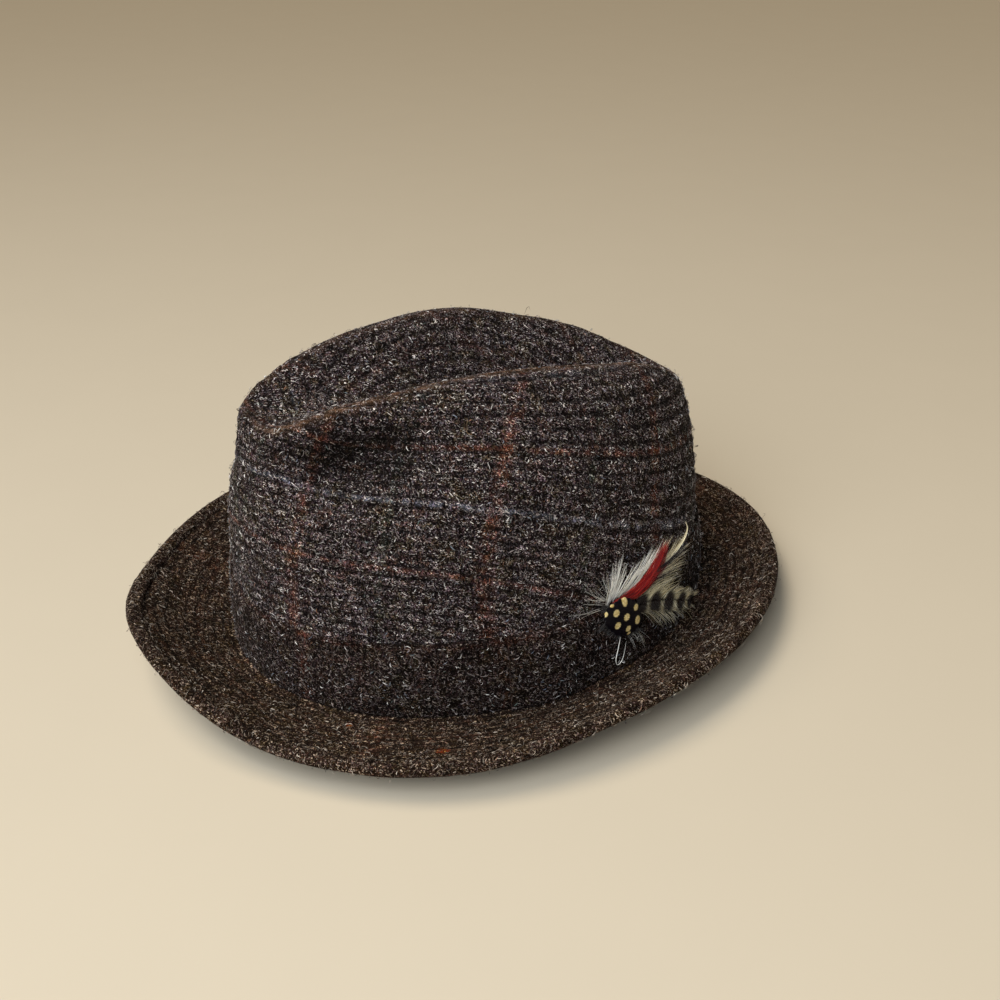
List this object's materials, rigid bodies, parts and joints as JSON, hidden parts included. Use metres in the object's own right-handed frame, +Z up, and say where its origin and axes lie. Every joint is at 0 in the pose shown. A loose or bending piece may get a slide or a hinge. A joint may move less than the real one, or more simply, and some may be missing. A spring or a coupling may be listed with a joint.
{
  "type": "trilby hat",
  "caption": "Stitched dark tweed trilby with a long centre dent, side pinches, a curled narrow brim with a welt, a self-cloth band and a small feather trim.",
  "frame": {"origin": "on the surface that the hat rests on, under the middle of its brim", "axes": "+Z up, -Y towards the front of the hat, +X towards the wearer's left, where the feathers are"},
  "size_m": [0.2431, 0.2897, 0.1191],
  "materials": {
    "crown_tweed": "quilted wool tweed, dark charcoal brown with pale kemp hairs and a rust and blue overcheck",
    "brim_tweed": "the same wool tweed, stitched in rows that run round the brim",
    "band_tweed": "the same wool tweed, unquilted",
    "white_feather": "soft cream white barbs with a silky sheen",
    "red_feather": "dyed red feather, matt",
    "barred_feather": "cream and olive feather with dark brown bars",
    "spotted_feather": "near black feather with cream yellow spots"
  },
  "bodies": {
    "root": {"crown": "crown_tweed", "brim": "brim_tweed", "brim_welt": "brim_tweed", "hat_band": "band_tweed", "white_hackle": "white_feather", "red_feather": "red_feather", "barred_feather": "barred_feather", "spotted_pad": "spotted_feather"}
  },
  "joints": []
}
